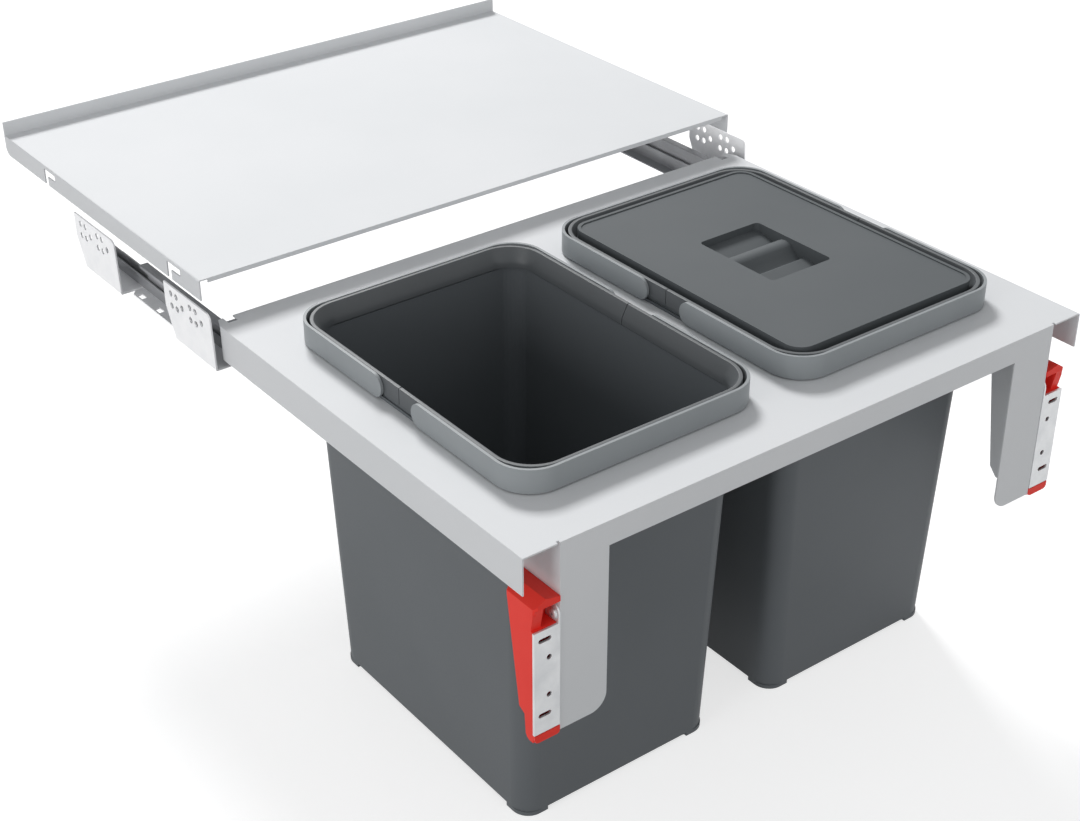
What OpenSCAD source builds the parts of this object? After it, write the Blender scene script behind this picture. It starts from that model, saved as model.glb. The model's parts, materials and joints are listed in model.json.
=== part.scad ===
// Pull-out two-bin waste unit for a 600 mm base cabinet, in mm.
// It is drawn pulled right out: bins and tray in front, cover shelf behind.
// Working axes: X from the tray's left edge to the right, Y from its front edge
// to the back, Z up from its top face. The whole part is then moved so that the
// centre of the left front bracket's screw pattern is the origin.

/* [Tray] */
// Width of the tray frame over its side flanges
tray_w = 550; // [500:10:600]
// Depth of the tray frame
tray_d = 408; // [380:1:440]
// Sheet thickness of the tray and the cover shelf
sheet = 1.2; // [1:0.1:2]
// Height of the side flanges
side_flange_h = 30; // [20:1:40]
// Height of the front flange
front_flange_h = 20; // [12:1:30]
// Outer edge of each front leg, from the tray's side
leg_x = 31.2; // [28:0.1:40]
// Width of each front leg
leg_w = 41.5; // [30:0.5:60]
// Reach of the legs below the tray top
leg_drop = 158; // [120:1:200]
// Corner radius at the bottom of a leg
leg_r = 14; // [5:1:20]

/* [Cover shelf] */
// Width of the shelf
shelf_w = 559; // [540:1:566]
// Depth of the shelf
shelf_d = 374; // [300:1:420]
// Front edge of the shelf behind the tray's front edge
shelf_y = 417; // [410:1:440]
// Height of the shelf top above the tray top
shelf_z = 33.8; // [28:0.1:45]
// Height of its side flanges
shelf_flange_h = 18; // [12:1:25]
// Height of the rear upstand above the shelf top
shelf_up = 13.2; // [8:0.1:25]
// Height of the lip bent down at its front edge
shelf_lip = 4; // [2:0.1:8]

/* [Cabinet and runners] */
// Clear width between the cabinet sides
cab_w = 568; // [560:1:570]
// Travel from closed to pulled out
travel = 382; // [300:1:400]
// Screw line spacing of the cabinet
pitch = 32; // [32:32:64]
// First screw line of the front bracket
hole_y = 420.4; // [400:0.1:440]
// Screw line of the front bracket to that of the rear bracket
bracket_step = 167; // [96:1:224]
// Radius of the screw holes in the brackets
cab_hole_r = 2.75; // [2:0.05:3.5]
// Length of the cabinet rails
cab_rail_l = 242; // [220:1:300]
// Length of the middle rails
mid_rail_l = 348; // [300:1:350]
// Length of the tray rails
tray_rail_l = 370; // [340:1:374]

/* [Bins] */
// Centre of the left bin, from the tray's side
bin_x = 148.2; // [140:0.1:160]
// Centre of the bin rims behind the tray's front edge
rim_y = 200; // [190:0.5:210]
// Half width over the carrying handles
rim_hx = 111.5; // [100:0.1:120]
// Half depth over the carrying handles
rim_hy = 150.5; // [140:0.1:160]
// Top of the handles above the tray top
rim_top = 20.4; // [16:0.1:25]
// Outer corner radius of the handles
rim_r = 30; // [20:1:40]
// Bottom of the bins below the tray top
bin_drop = 308; // [250:1:360]
// Half width of a bin at its bottom
bin_hx = 93.8; // [80:0.1:105]
// Half depth of a bin at its bottom
bin_hy = 129.7; // [110:0.1:140]
// Taper of the bin walls over their full height, each side
bin_taper = 9; // [3:0.1:15]
// Wall thickness of the bins
bin_wall = 2.2; // [1.5:0.1:3]
// Thickness of the handles
bail_t = 2.4; // [2:0.1:4]
// Gap between the handle ends at the middle of a bin's side
bail_gap = 39; // [30:1:60]
// Radius of the handle pins
pin_r = 3; // [2:0.1:4]

/* [Lid] */
// Half width of the lid panel
lid_hx = 97.8; // [90:0.1:99]
// Half depth of the lid panel
lid_hy = 136.8; // [130:0.1:138]
// Top of the lid above the tray top
lid_top = 21.5; // [18:0.1:24]

/* [Hidden] */
$fn = 48;

wall_x = (tray_w - cab_w) / 2;
shelf_x = (tray_w - shelf_w) / 2;
seam_y = 201;
body_y = 202.6;
cut_hx = 105.2;
cut_hy = 141.2;
hole_z = 6;
hole_row = 11;
home = [-wall_x, -(hole_y + pitch / 2), hole_row / 2 - hole_z];
rail_x0 = 4.6;
rail_x1 = 18;
rail_t = 1.4;
rail_y0 = 390;
rail_floor = -34.5;
screw_y = 4.6;
screw_z = -59;
mid_y0 = rail_y0 - travel / 2 + 6;
grip_y = 3.8;
bail_low = 1.2;
bail_r = (rim_top - bail_low) / 2;
bail_z = bail_low + bail_r;
ring_out = bail_t + 0.4;
ring_top = 20;
ring_r = 33;
grey = [0.83, 0.84, 0.86];
zinc = [0.9, 0.9, 0.91];
steel = [0.36, 0.37, 0.38];
red = [0.86, 0.17, 0.13];
plastic = [0.36, 0.38, 0.39];

// Places a piece of the left side, or mirrored on the right side
module on_side(right) {
    if (right)
        translate([tray_w, 0, 0])
            mirror([1, 0, 0])
                children();
    else
        children();
}

// Moves a piece from the working axes to the frame of the part
module at_home() {
    translate(home)
        children();
}

// Block from one corner to the opposite one
module span(a, b) {
    translate(a)
        cube(b - a);
}

// Flat rectangle with rounded corners about the origin
module round_rect(hx, hy, r) {
    square([2 * hx, 2 * (hy - r)], center = true);
    square([2 * (hx - r), 2 * hy], center = true);
    for (sx = [-1, 1], sy = [-1, 1])
        translate([sx * (hx - r), sy * (hy - r)])
            circle(r);
}

// Sweeps a profile (inset, height) round the rear half of a rounded rectangle
module sweep_half(hx, hy, r, y0) {
    for (s = [0, 1])
        mirror([s, 0, 0]) {
            translate([0, hy - r, 0])
                rotate([90, 0, 0])
                    linear_extrude(hy - r - y0)
                        translate([hx, 0])
                            mirror([1, 0])
                                children();
            translate([hx - r, hy - r, 0])
                rotate_extrude(angle = 90)
                    translate([r, 0])
                        mirror([1, 0])
                            children();
        }
    translate([r - hx, 0, 0])
        rotate([90, 0, 90])
            linear_extrude(2 * (hx - r))
                translate([hy, 0])
                    mirror([1, 0])
                        children();
}

// Upper outline of a front leg, seen from the front
module leg_outline() {
    translate([leg_x, -leg_drop])
        square([leg_w - leg_r, leg_drop]);
    translate([leg_x, leg_r - leg_drop])
        square([leg_w, leg_drop - leg_r]);
    translate([leg_x + leg_w - leg_r, leg_r - leg_drop])
        circle(leg_r);
}

// Half of the tray's bent edges: side flange, leg and its return flange
module tray_side() {
    span([0, 0, -side_flange_h], [sheet, tray_d - 11, 0]);
    translate([0, sheet, 0])
        rotate([90, 0, 0])
            linear_extrude(sheet)
                leg_outline();
    difference() {
        translate([leg_x, 0, 0])
            rotate([90, 0, 90])
                linear_extrude(sheet)
                    polygon([[0, 0], [60, 0], [60, -3], [40, -150], [33, -leg_drop], [0, -leg_drop]]);
        translate([leg_x - 1, screw_y, screw_z])
            rotate([0, 90, 0])
                cylinder(h = 4, r = 2.55);
    }
}

// Tray frame: one bent sheet with two cut-outs, two legs and a front flange
module tray() {
    color(grey)
        at_home() {
            translate([0, 0, -sheet])
                linear_extrude(sheet)
                    difference() {
                        square([tray_w, tray_d]);
                        for (x = [bin_x, tray_w - bin_x])
                            translate([x, body_y])
                                round_rect(cut_hx, cut_hy, 20);
                        for (m = [0, 1])
                            translate([m * tray_w, tray_d])
                                mirror([m, 0]) {
                                    translate([8.8, -9.5])
                                        square([8.8, 11]);
                                    polygon([[-1, -13.4], [5, 1], [-1, 1]]);
                                }
                        for (x = [leg_x - 2.2, tray_w - leg_x])
                            translate([x, -1])
                                square([2.2, 3.5]);
                    }
            span([leg_x, 0, -front_flange_h], [tray_w - leg_x, sheet, 0]);
            for (right = [false, true])
                on_side(right)
                    tray_side();
        }
}

// Bayonet slot in a shelf flange, open at the flange's lower edge
module hang_slot(y) {
    z = shelf_z - shelf_flange_h;
    span([shelf_x - 1, y - 3.5, z - 1], [shelf_x + 3, y + 3.5, z + 14.4]);
    span([shelf_x - 1, y - 19, z + 8.4], [shelf_x + 3, y + 3.5, z + 14.4]);
}

// Side flange of the shelf with a rounded rear corner and two bayonet slots
module shelf_side() {
    difference() {
        translate([shelf_x, shelf_y, shelf_z])
            rotate([90, 0, 90])
                linear_extrude(sheet) {
                    translate([0, -shelf_flange_h / 2])
                        square([shelf_d, shelf_flange_h / 2]);
                    translate([0, -shelf_flange_h])
                        square([shelf_d - 8, shelf_flange_h]);
                    translate([shelf_d - 8, 8 - shelf_flange_h])
                        circle(8);
                }
        hang_slot(468.5);
        hang_slot(702.5);
    }
}

// Cover shelf: one bent sheet with side flanges, a front lip and a rear upstand
module shelf() {
    color(grey)
        at_home() {
            span([shelf_x, shelf_y, shelf_z - sheet], [shelf_x + shelf_w, shelf_y + shelf_d, shelf_z]);
            span([shelf_x, shelf_y + shelf_d - sheet, shelf_z - sheet],
                [shelf_x + shelf_w, shelf_y + shelf_d, shelf_z + shelf_up]);
            span([shelf_x + 8, shelf_y, shelf_z - shelf_lip],
                [shelf_x + shelf_w - 8, shelf_y + sheet, shelf_z]);
            for (right = [false, true])
                on_side(right)
                    shelf_side();
        }
}

// Five alternative screw positions on one screw line
module screw_group(y) {
    for (p = [[0, hole_z], [9, hole_z], [0, hole_z - hole_row], [9, hole_z - hole_row], [-9, hole_z - 6.5]])
        translate([wall_x - 1, y + p[0], p[1]])
            rotate([0, 90, 0])
                cylinder(h = 4, r = cab_hole_r);
}

// Bracket of one runner: screw plate on the cabinet side and a foot under the rail
module bracket(right, y0, tail = 0) {
    color(zinc)
        at_home()
            on_side(right)
                translate([0, y0, 0]) {
                    difference() {
                        translate([wall_x, 0, 0])
                            rotate([90, 0, 90])
                                linear_extrude(1.5) {
                                    polygon([[-3, -36], [64, -36], [77, -8], [77, 13], [6, 13], [0, 7]]);
                                    translate([6, 7])
                                        circle(6);
                                }
                        translate([0, -y0, 0]) {
                            screw_group(hole_y + (y0 - 396));
                            screw_group(hole_y + (y0 - 396) + pitch);
                        }
                    }
                    span([wall_x, -3, -36], [27, 64, -34.5]);
                    if (tail > 0)
                        translate([0, 64, -36])
                            linear_extrude(1.5)
                                difference() {
                                    polygon([[-1, -1], [14, -1], [14, tail], [4, tail], [-1, tail - 6]]);
                                    for (y = [52.4, 52.4 + pitch])
                                        translate([0.6, y - 4.5])
                                            square([4.6, 9]);
                                }
                }
}

module bracket_left_front() {
    bracket(false, 396, bracket_step - 68);
}

module bracket_left_rear() {
    bracket(false, 396 + bracket_step);
}

module bracket_right_front() {
    bracket(true, 396, bracket_step - 68);
}

module bracket_right_rear() {
    bracket(true, 396 + bracket_step);
}

// Cabinet rail: wide floor on the brackets' feet and two walls that hold the middle rail
module cab_rail(right) {
    y1 = rail_y0 + cab_rail_l;
    color(steel)
        at_home()
            on_side(right) {
                span([11.4, rail_y0, rail_floor], [29, y1, rail_floor + rail_t]);
                span([11.4, rail_y0, rail_floor], [12.8, y1, -24]);
                span([16.8, rail_y0, rail_floor], [18.2, y1, -20.7]);
            }
}

module cab_rail_left() {
    cab_rail(false);
}

module cab_rail_right() {
    cab_rail(true);
}

// Middle rail: head in the tray rail, with a lip, and a web in the cabinet rail
module mid_rail(right) {
    y0 = mid_y0;
    y1 = y0 + mid_rail_l;
    color(steel)
        at_home()
            on_side(right) {
                span([7.4, y0, -10.6], [15.4, y1, -9.2]);
                span([7.4, y0, -12.4], [8.8, y1, -9.2]);
                span([14, y0, -32.4], [15.4, y1, -9.2]);
            }
}

module mid_rail_left() {
    mid_rail(false);
}

module mid_rail_right() {
    mid_rail(true);
}

// Tray rail: inverted channel fixed under the tray
module tray_rail(right) {
    y0 = 34;
    y1 = y0 + tray_rail_l;
    color(steel)
        at_home()
            on_side(right) {
                span([rail_x0, y0, -sheet - rail_t], [rail_x1, y1, -sheet]);
                span([rail_x0, y0, -15], [rail_x0 + rail_t, y1, -sheet]);
                span([rail_x1 - rail_t, y0, -15], [rail_x1, y1, -sheet]);
            }
}

module tray_rail_left() {
    tray_rail(false);
}

module tray_rail_right() {
    tray_rail(true);
}

// Plastic wedge between a leg's return flange and its front plate, hollow behind the plate
module adapter(right) {
    color(red)
        at_home()
            on_side(right)
                difference() {
                    union() {
                        translate([9.2, 0, 0])
                            rotate([90, 0, 90])
                                linear_extrude(21.8)
                                    polygon([[1.4, -160], [5.6, -160], [8.3, -158.7], [9.8, -156], [11, -140],
                                        [17, -136.5], [30, -49.5], [1.4, -49.5]]);
                        intersection() {
                            translate([0, 0, -54])
                                linear_extrude(16)
                                    polygon([[9.2, 1.4], [12, -0.8], [31, -0.8], [31, 41], [27, 41],
                                        [9.2, 30]]);
                            translate([0, 42, 0])
                                rotate([90, 0, 0])
                                    linear_extrude(44)
                                        polygon([[9.2, -50], [9.2, -46], [18.3, -39.8], [31, -42.5],
                                            [31, -50]]);
                        }
                        translate([0, 1.4, 0])
                            rotate([90, 0, 0])
                                linear_extrude(2.2)
                                    polygon([[12, -64.6], [17.5, -64.6], [17.5, -46], [12, -46]]);
                        translate([0, 1.4, 0])
                            rotate([90, 0, 0])
                                linear_extrude(2.2)
                                    polygon([[9.2, -153.2], [9.2, -157], [10.2, -159.2], [12.4, -160],
                                        [28.6, -160], [30.4, -159.2], [31, -157.6], [31, -153.2]]);
                    }
                    span([29.1, -1, -153.2], [32, 14.3, -50.4]);
                    span([17.5, -1, -64.6], [32, 14.3, -47]);
                    translate([9, 0, 0])
                        rotate([90, 0, 90])
                            linear_extrude(9)
                                polygon([[-2, -47], [0.2, -47], [3.6, -64.8], [-2, -64.8]]);
                    translate([11.4, 0, 0])
                        rotate([90, 0, 90])
                            linear_extrude(15.6)
                                polygon([[1, -151], [7.4, -151], [8.6, -138.4], [14.8, -134.6],
                                    [24.8, -67.5], [1, -67.5]]);
                }
}

module adapter_left() {
    adapter(false);
}

module adapter_right() {
    adapter(true);
}

// Steel plate that takes the cabinet front: two slots, two round holes and an ear
module front_plate(right) {
    color(zinc)
        at_home()
            on_side(right)
                difference() {
                    union() {
                        span([8.7, -0.8, -152.6], [31, 1.2, -65]);
                        span([29.4, -0.8, -152.6], [31, 13.8, -58]);
                        translate([29.4, 6.5, -58])
                            rotate([0, 90, 0])
                                cylinder(h = 1.6, r = 7.3);
                    }
                    for (z = [-73.1, -137.1])
                        translate([18, 3, z])
                            rotate([90, 0, 0])
                                linear_extrude(6) {
                                    square([7.4, 3.6], center = true);
                                    for (x = [-3.7, 3.7])
                                        translate([x, 0])
                                            circle(1.8);
                                }
                    for (z = [-89.1, -121.1])
                        translate([21.6, 3, z])
                            rotate([90, 0, 0])
                                cylinder(h = 6, r = 2.1);
                    translate([28, screw_y, screw_z])
                        rotate([0, 90, 0])
                            cylinder(h = 4, r = 2.55);
                }
}

module front_plate_left() {
    front_plate(false);
}

module front_plate_right() {
    front_plate(true);
}

// Screws that hold the front plates on the legs
module plate_screws() {
    color(zinc)
        at_home()
            for (right = [false, true])
                on_side(right)
                    translate([27.2, screw_y, screw_z])
                        rotate([0, 90, 0]) {
                            cylinder(h = 2.2, r = 4.4);
                            cylinder(h = 8.2, r = 2.45);
                            translate([0, 0, 5.4])
                                cylinder(h = 2.6, r = 3.1);
                        }
}

// Tapered box with rounded corners, between two heights
module bin_shell(z0, z1, inset) {
    hull()
        for (sx = [-1, 1], sy = [-1, 1], t = [0, 1]) {
            z = t == 0 ? z0 : z1 - 0.1;
            grow = bin_taper * (z + bin_drop) / bin_drop - inset;
            translate([sx * (bin_hx - 17 + grow), sy * (bin_hy - 17 + grow), z])
                cylinder(h = 0.1, r = 17, $fn = 32);
        }
}

// Bin about its own centre: tapered body, feet, ledge on the tray and rim wall
module bin_body() {
    translate([0, body_y - rim_y, 0]) {
        difference() {
            bin_shell(-bin_drop, 0.6, 0);
            bin_shell(2.5 - bin_drop, 2, bin_wall);
        }
        for (sx = [-1, 1], sy = [-1, 1])
            translate([sx * (bin_hx - 15), sy * (bin_hy - 15), -bin_drop - 3.5])
                linear_extrude(3.6) {
                    circle(15);
                    translate([sx * 2.5, sy * -4])
                        square([25, 8], center = true);
                    translate([sx * -4, sy * 2.5])
                        square([8, 25], center = true);
                }
    }
    translate([0, 0, 0.3])
        linear_extrude(2.4)
            difference() {
                round_rect(rim_hx - ring_out - 0.2, rim_hy - ring_out - 0.2, ring_r);
                translate([0, body_y - rim_y])
                    round_rect(bin_hx + bin_taper - bin_wall, bin_hy + bin_taper - bin_wall, 17);
            }
    difference() {
        for (s = [0, 1])
            mirror([0, s, 0])
                sweep_half(rim_hx - ring_out - 1.6, rim_hy - ring_out - 1.6, ring_r - 1.6, 0)
                    translate([0, 2])
                        square([1.6, 13.8]);
        for (y = [seam_y - bail_gap / 2 - bail_r, seam_y + bail_gap / 2 + bail_r])
            translate([-rim_hx, y - rim_y, bail_z])
                rotate([0, 90, 0])
                    cylinder(h = 2 * rim_hx, r = pin_r + 0.06);
    }
}

module bin_left() {
    color(plastic)
        at_home()
            translate([bin_x, rim_y, 0])
                bin_body();
}

module bin_right() {
    color(plastic)
        at_home()
            translate([tray_w - bin_x, rim_y, 0])
                bin_body();
}

// Carrying handle of one bin half, drawn for the rear half
module bail(x, front) {
    s = front ? -1 : 1;
    y0 = bail_gap / 2 + bail_r + s * (seam_y - rim_y);
    color(plastic)
        at_home()
            translate([x, rim_y, 0])
                mirror([0, front ? 1 : 0, 0]) {
                    sweep_half(rim_hx, rim_hy, rim_r, y0)
                        polygon([[0, bail_low], [0, rim_top - 0.8], [0.6, rim_top],
                            [bail_t - 0.6, rim_top], [bail_t, rim_top - 0.8], [bail_t, bail_low]]);
                    for (m = [0, 1])
                        mirror([m, 0, 0])
                            translate([rim_hx, y0, bail_z])
                                rotate([0, -90, 0]) {
                                    cylinder(h = bail_t, r = bail_r);
                                    cylinder(h = bail_t + 3.4, r = pin_r);
                                }
                }
}

module bail_left_rear() {
    bail(bin_x, false);
}

module bail_left_front() {
    bail(bin_x, true);
}

module bail_right_rear() {
    bail(tray_w - bin_x, false);
}

module bail_right_front() {
    bail(tray_w - bin_x, true);
}

// Bag ring of one bin half: it straddles the rim wall and slopes inwards inside
module ring(x, front) {
    s = front ? -1 : 1;
    y0 = s * (seam_y - rim_y) + 0.3;
    y1 = bail_gap / 2 + bail_r + s * (seam_y - rim_y);
    color(plastic)
        at_home()
            translate([x, rim_y, 0])
                mirror([0, front ? 1 : 0, 0])
                    difference() {
                        sweep_half(rim_hx - ring_out, rim_hy - ring_out, ring_r, y0)
                            polygon([[0, 6], [0, ring_top - 0.4], [0.4, ring_top], [3.1, ring_top],
                                [8.4, 9.5], [9.1, 3.6], [7.8, 3.6], [7.1, 9.1], [2.4, ring_top - 1.4],
                                [1.3, ring_top - 1.4], [1.3, 6]]);
                        for (m = [0, 1])
                            mirror([m, 0, 0])
                                span([rim_hx - ring_out - 1.7, y1 - 8, 5], [rim_hx, y1 + 5, bail_z + 4]);
                    }
}

module ring_left_rear() {
    ring(bin_x, false);
}

module ring_left_front() {
    ring(bin_x, true);
}

module ring_right_rear() {
    ring(tray_w - bin_x, false);
}

module ring_right_front() {
    ring(tray_w - bin_x, true);
}

// Space above or below the lid's grip recess, from its outline (y, z)
module grip_space(outline) {
    translate([-40, 0, 0])
        rotate([90, 0, 90])
            linear_extrude(80)
                polygon(outline);
}

// Lid of the right bin: panel in the ring, border that rests on it, recess with a grip bar
module lid() {
    color(plastic)
        at_home()
            translate([tray_w - bin_x, rim_y, 0]) {
                difference() {
                    union() {
                        translate([0, 0, lid_top - 3.2])
                            linear_extrude(3.2)
                                round_rect(lid_hx, lid_hy, 15);
                        translate([0, 0, 11.6])
                            linear_extrude(lid_top - 11.6 - 2)
                                difference() {
                                    round_rect(lid_hx, lid_hy, 15);
                                    round_rect(lid_hx - 1.8, lid_hy - 1.8, 13.2);
                                }
                        translate([0, 0, 11.6])
                            linear_extrude(1.6)
                                difference() {
                                    round_rect(lid_hx + 3, lid_hy + 3, 25);
                                    round_rect(lid_hx - 1, lid_hy - 1, 14);
                                }
                        translate([0, grip_y, 4])
                            linear_extrude(lid_top - 5)
                                round_rect(34.5, 45.8, 6);
                    }
                    translate([0, 0, lid_top - 1])
                        linear_extrude(2)
                            round_rect(lid_hx - 3, lid_hy - 3, 12);
                    intersection() {
                        translate([0, grip_y, 0])
                            linear_extrude(lid_top + 2)
                                round_rect(32.5, 43.8, 4);
                        grip_space([[-50, 30], [-50, 4.6], [-41, 5.8], [-12.2, 9.6], [-10.7, 9.8], [-9.2, 9.2],
                            [-7, 7], [-6, 6.2], [-3.6, 7.2], [2.6, 11.8], [5.4, 14.8], [8, 16.6], [11.5, 17.3],
                            [16, 16.8], [19.5, 15], [21.2, 12], [22.4, 9], [28, 10.2], [50, 14.2], [50, 30]]);
                    }
                    intersection() {
                        translate([0, grip_y, 3])
                            linear_extrude(lid_top)
                                round_rect(32.5, 43.8, 4);
                        grip_space([[-50, 0], [-50, 2.7], [-41, 4], [-12, 7.8], [-10.8, 7.8], [-9.9, 7.2],
                            [-8, 5.5], [-6.8, 4.5], [-5.4, 4.3], [-2.6, 5.2],
                            [4, 10.2], [6.8, 13.2], [9, 14.8], [11.5, 15.4], [15.4, 15], [18, 13.6],
                            [19.6, 10.8], [21.2, 7], [28.4, 8.3], [50, 12.3], [50, 0]]);
                    }
                }
            }
}

tray();
shelf();
bracket_left_front();
bracket_left_rear();
bracket_right_front();
bracket_right_rear();
cab_rail_left();
cab_rail_right();
mid_rail_left();
mid_rail_right();
tray_rail_left();
tray_rail_right();
adapter_left();
adapter_right();
front_plate_left();
front_plate_right();
plate_screws();
bin_left();
bin_right();
bail_left_rear();
bail_left_front();
bail_right_rear();
bail_right_front();
ring_left_rear();
ring_left_front();
ring_right_rear();
ring_right_front();
lid();
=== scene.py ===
import json
import math

import bmesh
import bpy
from mathutils import Matrix, Vector


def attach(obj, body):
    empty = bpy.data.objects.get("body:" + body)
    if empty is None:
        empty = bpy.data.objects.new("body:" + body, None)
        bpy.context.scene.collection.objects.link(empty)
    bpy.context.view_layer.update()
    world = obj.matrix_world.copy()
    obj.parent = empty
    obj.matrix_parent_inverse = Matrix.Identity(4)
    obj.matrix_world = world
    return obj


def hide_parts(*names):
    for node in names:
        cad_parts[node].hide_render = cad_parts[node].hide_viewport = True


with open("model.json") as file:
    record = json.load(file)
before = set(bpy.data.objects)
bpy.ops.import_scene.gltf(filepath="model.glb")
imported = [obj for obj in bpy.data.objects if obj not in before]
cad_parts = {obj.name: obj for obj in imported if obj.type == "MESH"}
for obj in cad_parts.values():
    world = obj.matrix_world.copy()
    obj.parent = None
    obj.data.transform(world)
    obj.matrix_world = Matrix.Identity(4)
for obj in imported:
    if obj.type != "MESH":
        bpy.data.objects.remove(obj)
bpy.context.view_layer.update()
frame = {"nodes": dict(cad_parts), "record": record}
NODES = frame["nodes"]
RECORD = frame["record"]

# Working axes of the construction, in mm: X from the tray's left edge, Y from its
# front edge back, Z up from its top. HOME moves them to the frame of the part.
HOME = Vector((9.0, -436.4, -0.5))
TRAY_W = 550.0
BIN_X = 148.2
RIM_Y = 200.0


def P(x, y, z):
    """A point of the working axes (mm) in the frame of the part (m)."""
    return (Vector((x, y, z)) + HOME) / 1000.0


# Materials


def nodes_of(m):
    """Empty node tree of a material, with a Principled shader linked to the output."""
    m.use_nodes = True
    t = m.node_tree
    for n in list(t.nodes):
        t.nodes.remove(n)
    out = t.nodes.new("ShaderNodeOutputMaterial")
    b = t.nodes.new("ShaderNodeBsdfPrincipled")
    t.links.new(b.outputs[0], out.inputs[0])
    return t, b


def noise(t, coord, scale, detail, rough=0.5, stretch=None):
    """Noise over the object's own coordinates, drawn out along an axis by stretch."""
    if stretch:
        mp = t.nodes.new("ShaderNodeMapping")
        mp.inputs["Scale"].default_value = stretch
        t.links.new(coord, mp.inputs[0])
        coord = mp.outputs[0]
    n = t.nodes.new("ShaderNodeTexNoise")
    n.inputs["Scale"].default_value = scale
    n.inputs["Detail"].default_value = detail
    n.inputs["Roughness"].default_value = rough
    t.links.new(coord, n.inputs["Vector"])
    return n.outputs["Fac"]


def span_of(t, value, lo, hi):
    """Spreads the middle of a noise value over lo to hi."""
    r = t.nodes.new("ShaderNodeMapRange")
    r.inputs["From Min"].default_value = 0.3
    r.inputs["From Max"].default_value = 0.7
    r.inputs["To Min"].default_value = lo
    r.inputs["To Max"].default_value = hi
    t.links.new(value, r.inputs["Value"])
    return r.outputs[0]


def tone(t, fac, dark, light):
    """Colour between dark and light."""
    mx = t.nodes.new("ShaderNodeMix")
    mx.data_type = "RGBA"
    mx.inputs[6].default_value = (*dark, 1)
    mx.inputs[7].default_value = (*light, 1)
    t.links.new(fac, mx.inputs[0])
    return mx.outputs[2]


def material(name, dark, light, rough, metal=0.0, grain=900.0, bump=0.1, depth=0.00004,
             cloud=9.0, rough_span=0.06, stretch=None, spec=0.5):
    """Surface with a soft change of colour (cloud) and a fine grain in gloss and relief."""
    m = bpy.data.materials.new(name)
    t, b = nodes_of(m)
    co = t.nodes.new("ShaderNodeTexCoord").outputs["Object"]
    big = noise(t, co, cloud, 4.0)
    fine = noise(t, co, grain, 3.0, 0.6, stretch)
    t.links.new(tone(t, span_of(t, big, 0.0, 1.0), dark, light), b.inputs["Base Color"])
    t.links.new(span_of(t, fine, rough - rough_span, rough + rough_span), b.inputs["Roughness"])
    bp = t.nodes.new("ShaderNodeBump")
    bp.inputs["Strength"].default_value = bump
    bp.inputs["Distance"].default_value = depth
    t.links.new(fine, bp.inputs["Height"])
    t.links.new(bp.outputs[0], b.inputs["Normal"])
    b.inputs["Metallic"].default_value = metal
    b.inputs["Specular IOR Level"].default_value = spec
    return m


M = {
    "grey_coated_sheet": material("powder_coat", (0.77, 0.785, 0.80), (0.81, 0.82, 0.835), 0.58,
                                  grain=1500.0, bump=0.3, depth=0.00003, cloud=5.0, spec=0.25),
    "zinc_bracket": material("zinc_plate", (0.92, 0.925, 0.94), (0.99, 0.99, 1.0), 0.36, metal=0.3,
                             grain=320.0, bump=0.05, cloud=70.0, rough_span=0.08),
    "runner_steel": material("runner_steel", (0.31, 0.315, 0.33), (0.38, 0.385, 0.40), 0.5, metal=0.35,
                             grain=500.0, bump=0.15, cloud=40.0, stretch=(1.0, 0.04, 1.0), rough_span=0.1),
    "red_plastic": material("red_plastic", (0.95, 0.050, 0.036), (0.99, 0.062, 0.045), 0.4,
                            grain=1100.0, bump=0.15, cloud=25.0, spec=0.12),
    "plate_steel": material("plate_steel", (0.70, 0.715, 0.73), (0.84, 0.85, 0.86), 0.36, metal=0.45,
                            grain=260.0, bump=0.06, cloud=60.0, rough_span=0.08),
    "screw_steel": material("screw_steel", (0.56, 0.565, 0.58), (0.66, 0.665, 0.68), 0.42, metal=0.5,
                            grain=600.0, bump=0.1, cloud=90.0),
    "bin_plastic": material("bin_plastic", (0.134, 0.147, 0.157), (0.150, 0.163, 0.174), 0.5,
                            grain=1300.0, bump=0.35, depth=0.00005, cloud=5.0, spec=0.25),
    "handle_plastic": material("handle_plastic", (0.308, 0.330, 0.342), (0.336, 0.358, 0.370), 0.42,
                               grain=1300.0, bump=0.3, depth=0.00004, cloud=12.0, spec=0.3),
    "ring_plastic": material("ring_plastic", (0.104, 0.113, 0.120), (0.117, 0.126, 0.133), 0.42,
                             grain=1300.0, bump=0.3, depth=0.00004, cloud=12.0, spec=0.35),
    "lid_plastic": material("lid_plastic", (0.103, 0.114, 0.121), (0.116, 0.127, 0.134), 0.6,
                            grain=1300.0, bump=0.35, depth=0.00005, cloud=7.0, spec=0.2),
}
SLOT_OF = {s["node"]: s["material_slot"] for s in RECORD["subparts"]}
BODY_OF = {n: b for b, ns in RECORD["behaviour"]["bodies"].items() for n in ns}


# Mesh helpers


def finish_mesh(obj, angle=32.0):
    """Smooth shading with sharp edges above an angle, and normals weighted by face area."""
    me = obj.data
    for p in me.polygons:
        p.use_smooth = True
    me.set_sharp_from_angle(angle=math.radians(angle))
    w = obj.modifiers.new("normals", "WEIGHTED_NORMAL")
    w.keep_sharp = True
    w.weight = 80


def place(name, bm, node, slot=None):
    """A finished mesh becomes a piece that rides on the CAD node's body."""
    me = bpy.data.meshes.new(name)
    bm.to_mesh(me)
    bm.free()
    obj = bpy.data.objects.new(name, me)
    bpy.context.scene.collection.objects.link(obj)
    slot = slot or SLOT_OF[node]
    me.materials.append(M[slot])
    finish_mesh(obj)
    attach(obj, BODY_OF[node])
    return obj


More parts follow.
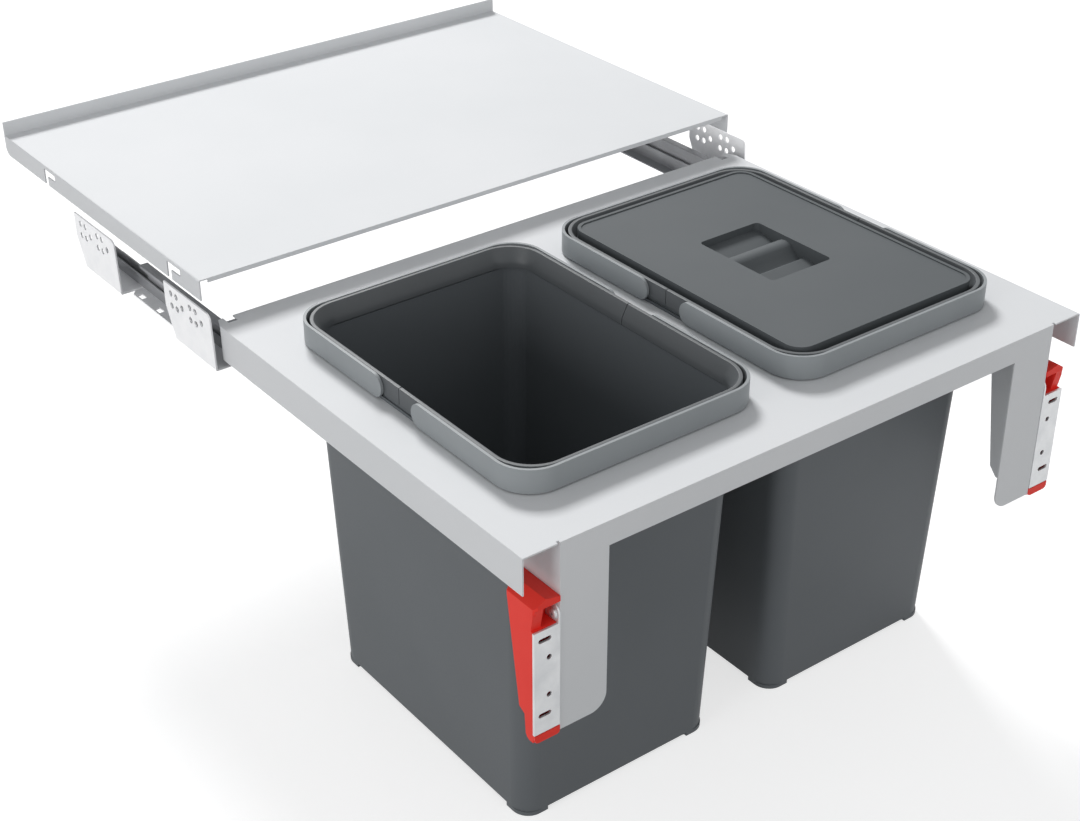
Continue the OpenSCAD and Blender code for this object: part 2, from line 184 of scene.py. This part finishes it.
def clean_copy(node, merge=3e-6, flat=0.4):
    """Copy of a CAD solid's mesh with its flat faces whole again."""
    bm = bmesh.new()
    bm.from_mesh(NODES[node].data)
    bmesh.ops.remove_doubles(bm, verts=bm.verts, dist=merge)
    bmesh.ops.dissolve_limit(bm, angle_limit=math.radians(flat), verts=bm.verts, edges=bm.edges)
    return bm


def round_edges(bm, width, segments=2, angle=28.0, pick=None):
    """Rounds the edges above an angle that pick allows."""
    edges = []
    for e in bm.edges:
        if len(e.link_faces) == 2 and e.calc_face_angle(0.0) > math.radians(angle):
            if pick is None or pick(e):
                edges.append(e)
    if edges:
        bmesh.ops.bevel(bm, geom=edges, offset=width, offset_type="OFFSET", segments=segments,
                        profile=0.5, affect="EDGES", clamp_overlap=True, loop_slide=False)


def split_hollow(bm):
    """Faces with dents or holes are cut into triangles, so that rounding can't fold them."""
    dented = [f for f in bm.faces if len(f.verts) > 4 and not all(lp.is_convex for lp in f.loops)]
    bmesh.ops.triangulate(bm, faces=dented)


def rounded(node, width):
    """The CAD solid with its edges rounded, in its own place."""
    bm = clean_copy(node)
    split_hollow(bm)
    round_edges(bm, width)
    obj = place(node + "_dress", bm, node)
    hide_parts(node)


def near(v, w, e=0.03):
    return abs(v - w) < e


def mm(v):
    """Vertex position back in the construction's working axes, in mm."""
    return v.co * 1000.0 - HOME


def on_line(e, x=None, y=None, z=None):
    """True where both ends of an edge lie on a line given by two of x, y, z (mm)."""
    for v in e.verts:
        q = mm(v)
        for have, want in ((q.x, x), (q.y, y), (q.z, z)):
            if want is not None and not near(have, want):
                return False
    return True


def bent(node, lines, bend=0.0011, edge=0.00022, segments=3):
    """A sheet-metal CAD solid: bend lines get a radius, cut edges a fine break."""
    bm = clean_copy(node)
    for line in lines:
        round_edges(bm, bend, segments, 60.0, lambda e, k=line: on_line(e, **k))
    round_edges(bm, edge, 1, 50.0)
    obj = place(node + "_dress", bm, node)
    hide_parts(node)


def ring_path(hx, hy, r, y0, inset, arc=12):
    """Rear half of a rounded rectangle from (hx, y0) round to (-hx, y0), inset inwards."""
    pts = [(hx - inset, y0)]
    for k in range(arc + 1):
        a = math.pi / 2 * k / arc
        pts.append((hx - r + (r - inset) * math.cos(a), hy - r + (r - inset) * math.sin(a)))
    for k in range(1, 8):
        pts.append(((hx - r) * (1 - 2 * k / 8), hy - inset))
    for k in range(arc + 1):
        a = math.pi / 2 * (1 + k / arc)
        pts.append((r - hx + (r - inset) * math.cos(a), hy - r + (r - inset) * math.sin(a)))
    pts.append((inset - hx, y0))
    return pts


def lathe(bm, base, axis, profile, segments):
    """Closed turned solid: profile of (radius, height) along an axis from base (mm)."""
    axis = Vector(axis).normalized()
    u = axis.orthogonal().normalized()
    v = axis.cross(u)
    rings = []
    for r, h in profile:
        middle = Vector(base) + axis * h
        if r < 1e-6:
            rings.append([bm.verts.new(P(*middle))])
            continue
        turns = (2 * math.pi * k / segments for k in range(segments))
        rings.append([bm.verts.new(P(*(middle + (u * math.cos(a) + v * math.sin(a)) * r))) for a in turns])
    for lo, hi in zip(rings, rings[1:]):
        for k in range(segments):
            n = (k + 1) % segments
            if len(lo) == 1:
                bm.faces.new((lo[0], hi[n], hi[k]))
            elif len(hi) == 1:
                bm.faces.new((lo[k], lo[n], hi[0]))
            else:
                bm.faces.new((lo[k], lo[n], hi[n], hi[k]))


# Carrying handles: a band with round ends and soft edges, and two pins each

RIM_HX, RIM_HY, RIM_R = 111.5, 150.5, 30.0
RIM_TOP, BAIL_LOW, BAIL_T = 20.4, 1.2, 2.4
BAIL_R = (RIM_TOP - BAIL_LOW) / 2
BAIL_Z = BAIL_LOW + BAIL_R
BAIL_END = 19.5
SEAM = 1.0
END_STEPS = 12
PIN_R, PIN_LONG, PIN_EDGE = 3.0, 3.5, 0.3


def handle(node, x0, front):
    s = -1 if front else 1
    disc = BAIL_END + BAIL_R + s * SEAM
    bm = bmesh.new()
    outer = ring_path(RIM_HX, RIM_HY, RIM_R, disc, 0.0)
    inner = ring_path(RIM_HX, RIM_HY, RIM_R, disc, BAIL_T)
    # Sections along the band: outer point, inner point, half height
    cols = []
    for k in range(END_STEPS):
        a = math.pi / 2 * k / END_STEPS
        y = disc - BAIL_R * math.cos(a)
        cols.append(((RIM_HX, y), (RIM_HX - BAIL_T, y), BAIL_R * math.sin(a)))
    cols += [(o, i, BAIL_R) for o, i in zip(outer, inner)]
    cols += [((-o[0], o[1]), (-i[0], i[1]), h) for o, i, h in reversed(cols[:END_STEPS])]
    grid = []
    for o, i, h in cols:
        grid.append([bm.verts.new(P(x0 + q[0], RIM_Y + s * q[1], BAIL_Z + dz))
                     for q, dz in ((o, -h), (o, h), (i, h), (i, -h))])
    for p, q in zip(grid, grid[1:]):
        for k in range(4):
            n = (k + 1) % 4
            bm.faces.new((p[k], p[n], q[n], q[k]))
    bmesh.ops.remove_doubles(bm, verts=bm.verts, dist=1e-7)
    for tip in [f for f in bm.faces if f.calc_area() < 1e-12]:
        bm.faces.remove(tip)
    bmesh.ops.recalc_face_normals(bm, faces=bm.faces)
    round_edges(bm, 0.00075, 3, 55.0)
    for m in (1, -1):
        lathe(bm, (x0 + m * (RIM_HX - BAIL_T + 0.2), RIM_Y + s * disc, BAIL_Z), (-m, 0, 0),
              [(0, 0), (PIN_R, 0), (PIN_R, PIN_LONG - PIN_EDGE), (PIN_R - PIN_EDGE, PIN_LONG), (0, PIN_LONG)], 28)
    bmesh.ops.recalc_face_normals(bm, faces=bm.faces)
    obj = place(node + "_dress", bm, node)
    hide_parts(node)


for side, x0 in (("left", BIN_X), ("right", TRAY_W - BIN_X)):
    handle("bail_" + side + "_rear", x0, False)
    handle("bail_" + side + "_front", x0, True)


# Sheet-metal parts

LEG_X = 31.2
SHELF_X, SHELF_Y, SHELF_Z = -4.5, 417.0, 33.8
SHELF_W, SHELF_D, SHEET = 559.0, 374.0, 1.2
bent("tray", [dict(x=0, z=0), dict(x=TRAY_W, z=0), dict(y=0, z=0), dict(x=LEG_X, y=0), dict(x=TRAY_W - LEG_X, y=0)])
bent("shelf", [dict(x=SHELF_X, z=SHELF_Z), dict(x=SHELF_X + SHELF_W, z=SHELF_Z), dict(y=SHELF_Y, z=SHELF_Z),
               dict(y=SHELF_Y + SHELF_D, z=SHELF_Z - SHEET)])
for side, x in (("left", -9.0), ("right", 559.0)):
    for end in ("front", "rear"):
        bent("bracket_%s_%s" % (side, end), [dict(x=x, z=-36)], bend=0.0013)

# Screws with a cross recess: where the heads lie and which way the shanks point

SCREWS = ((27.2, 1), (TRAY_W - 27.2, -1))
SCREW_Y, SCREW_Z = 4.6, -59.0
SCREW_PROFILE = [(0, 0.12), (1.6, 0.1), (2.9, 0.28), (3.8, 0.7), (4.25, 1.3), (4.35, 1.9), (4.2, 2.2), (2.45, 2.2),
                 (2.45, 5.4), (3.1, 5.4), (3.1, 8.0), (2.45, 8.0), (2.2, 8.2), (0, 8.2)]
ARM_DEEP, ARM_LONG, ARM_WIDE, ARM_TAPER, ARM_IN = 2.6, 4.4, 0.9, 0.6, 0.2


def recess_tool():
    """Crossed arms that narrow inwards, to be cut out of the heads."""
    cut = bmesh.new()
    for x, d in SCREWS:
        for wide, high in ((ARM_WIDE, ARM_LONG), (ARM_LONG, ARM_WIDE)):
            for v in bmesh.ops.create_cube(cut, size=1.0)["verts"]:
                w = 1.0 if v.co.x < 0 else ARM_TAPER
                v.co = P(x + d * (v.co.x * ARM_DEEP + ARM_IN), SCREW_Y + v.co.y * wide * w, SCREW_Z + v.co.z * high * w)
    bmesh.ops.recalc_face_normals(cut, faces=cut.faces)
    me = bpy.data.meshes.new("recess")
    cut.to_mesh(me)
    cut.free()
    tool = bpy.data.objects.new("recess", me)
    bpy.context.scene.collection.objects.link(tool)
    return tool


def screws():
    bm = bmesh.new()
    for x, d in SCREWS:
        lathe(bm, (x, SCREW_Y, SCREW_Z), (d, 0, 0), SCREW_PROFILE, 40)
    bmesh.ops.recalc_face_normals(bm, faces=bm.faces)
    obj = place("plate_screws_dress", bm, "plate_screws")
    tool = recess_tool()
    obj.modifiers.clear()
    b = obj.modifiers.new("recess", "BOOLEAN")
    b.object = tool
    b.operation = "DIFFERENCE"
    b.solver = "EXACT"
    b.use_self = True
    dg = bpy.context.evaluated_depsgraph_get()
    done = bpy.data.meshes.new_from_object(obj.evaluated_get(dg))
    obj.modifiers.clear()
    obj.data = done
    bpy.data.objects.remove(tool)
    finish_mesh(obj)
    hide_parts("plate_screws")


screws()

# Everything else is the CAD solid with its edges rounded as moulded or rolled

EDGE = {"runner_steel": 0.0004, "red_plastic": 0.0006, "plate_steel": 0.00025, "bin_plastic": 0.0005,
        "ring_plastic": 0.00035, "lid_plastic": 0.0005}
for n in NODES:
    if SLOT_OF[n] in EDGE:
        rounded(n, EDGE[SLOT_OF[n]])


# Floor, light and camera


def either(t, a, b):
    """1 where one of two ray flags is set."""
    n = t.nodes.new("ShaderNodeMath")
    n.operation = "ADD"
    n.use_clamp = True
    t.links.new(a, n.inputs[0])
    t.links.new(b, n.inputs[1])
    return n.outputs[0]


def floor_material():
    """Pale floor that lifts to white where the camera or a reflection sees it, so shadows stay soft."""
    m = bpy.data.materials.new("floor_white")
    t, b = nodes_of(m)
    b.inputs["Base Color"].default_value = (0.55, 0.55, 0.55, 1)
    b.inputs["Roughness"].default_value = 0.9
    b.inputs["Specular IOR Level"].default_value = 0.1
    lp = t.nodes.new("ShaderNodeLightPath").outputs
    mul = t.nodes.new("ShaderNodeMath")
    mul.operation = "MULTIPLY"
    mul.inputs[1].default_value = 0.68
    t.links.new(either(t, lp["Is Camera Ray"], lp["Is Glossy Ray"]), mul.inputs[0])
    b.inputs["Emission Color"].default_value = (1, 1, 1, 1)
    t.links.new(mul.outputs[0], b.inputs["Emission Strength"])
    return m


bm = bmesh.new()
bmesh.ops.create_grid(bm, x_segments=2, y_segments=2, size=6.0)
me = bpy.data.meshes.new("floor")
bm.to_mesh(me)
bm.free()
floor = bpy.data.objects.new("floor", me)
floor.location = (0.28, 0.0, -0.3125)
me.materials.append(floor_material())
bpy.context.scene.collection.objects.link(floor)


def background(t, colour, strength):
    n = t.nodes.new("ShaderNodeBackground")
    n.inputs[0].default_value = (*colour, 1)
    n.inputs[1].default_value = strength
    return n.outputs[0]


# The world is white where it is seen or mirrored, and lights the object at a plain level
world = bpy.data.worlds.new("studio")
bpy.context.scene.world = world
world.use_nodes = True
wt = world.node_tree
for n in list(wt.nodes):
    wt.nodes.remove(n)
lp = wt.nodes.new("ShaderNodeLightPath").outputs
shown = either(wt, either(wt, lp["Is Camera Ray"], lp["Is Glossy Ray"]), lp["Is Transmission Ray"])
wm = wt.nodes.new("ShaderNodeMixShader")
wt.links.new(shown, wm.inputs[0])
wt.links.new(background(wt, (0.97, 0.985, 1.0), 0.355), wm.inputs[1])
wt.links.new(background(wt, (1, 1, 1), 1.0), wm.inputs[2])
wt.links.new(wm.outputs[0], wt.nodes.new("ShaderNodeOutputWorld").inputs[0])


def lamp(name, place_at, size, power):
    """White square area lamp that points at the middle of the part."""
    d = bpy.data.lights.new(name, "AREA")
    d.shape = "RECTANGLE"
    d.size, d.size_y = size, size
    d.energy = power
    o = bpy.data.objects.new(name, d)
    o.location = place_at
    o.rotation_euler = (Vector(CENTRE) - Vector(place_at)).to_track_quat("-Z", "Y").to_euler()
    bpy.context.scene.collection.objects.link(o)


CENTRE = (0.284, -0.05, -0.1)
lamp("key", (2.489, 6.124, 6.115), 2.3, 605.0)
lamp("fill_left", (-2.8, -0.7, 0.6), 1.4, 23.5)
lamp("fill_front", (0.3, -3.0, 0.4), 1.4, 7.0)

# Camera fitted to the photograph: angles in degrees, its aim point and distance in widths of
# the tray from the tray's front left corner, focal length and optical centre in pixels
W = TRAY_W / 1000.0
IMAGE_W, IMAGE_H = 1080.0, 821.0
FOCAL, CENTRE_X, CENTRE_Y = 1879.76, 491.23, 414.32
SENSOR = 36.0
AZ, EL, ROLL = (math.radians(v) for v in (-35.5868, 31.0083, -1.0134))
back = Vector((math.sin(AZ) * math.cos(EL), -math.cos(AZ) * math.cos(EL), math.sin(EL)))
side = Vector((math.cos(AZ), math.sin(AZ), 0.0))
up = back.cross(side)
right = math.cos(ROLL) * side + math.sin(ROLL) * up
up = -math.sin(ROLL) * side + math.cos(ROLL) * up
eye = Vector((0.1649, 0.2871, 0.0)) * W + back * 2.4770 * W + P(0, 0, 0)
cam_data = bpy.data.cameras.new("camera")
cam_data.sensor_width = SENSOR
cam_data.sensor_fit = "HORIZONTAL"
cam_data.lens = FOCAL / IMAGE_W * SENSOR
cam_data.shift_x = (IMAGE_W / 2 - CENTRE_X) / IMAGE_W
cam_data.shift_y = (CENTRE_Y - IMAGE_H / 2) / IMAGE_W
cam_data.clip_start = 0.05
cam = bpy.data.objects.new("camera", cam_data)
rot = Matrix((right, up, back)).transposed()
cam.matrix_world = Matrix.Translation(eye) @ rot.to_4x4()
bpy.context.scene.collection.objects.link(cam)
bpy.context.scene.camera = cam

bpy.context.scene.view_settings.view_transform = "Standard"
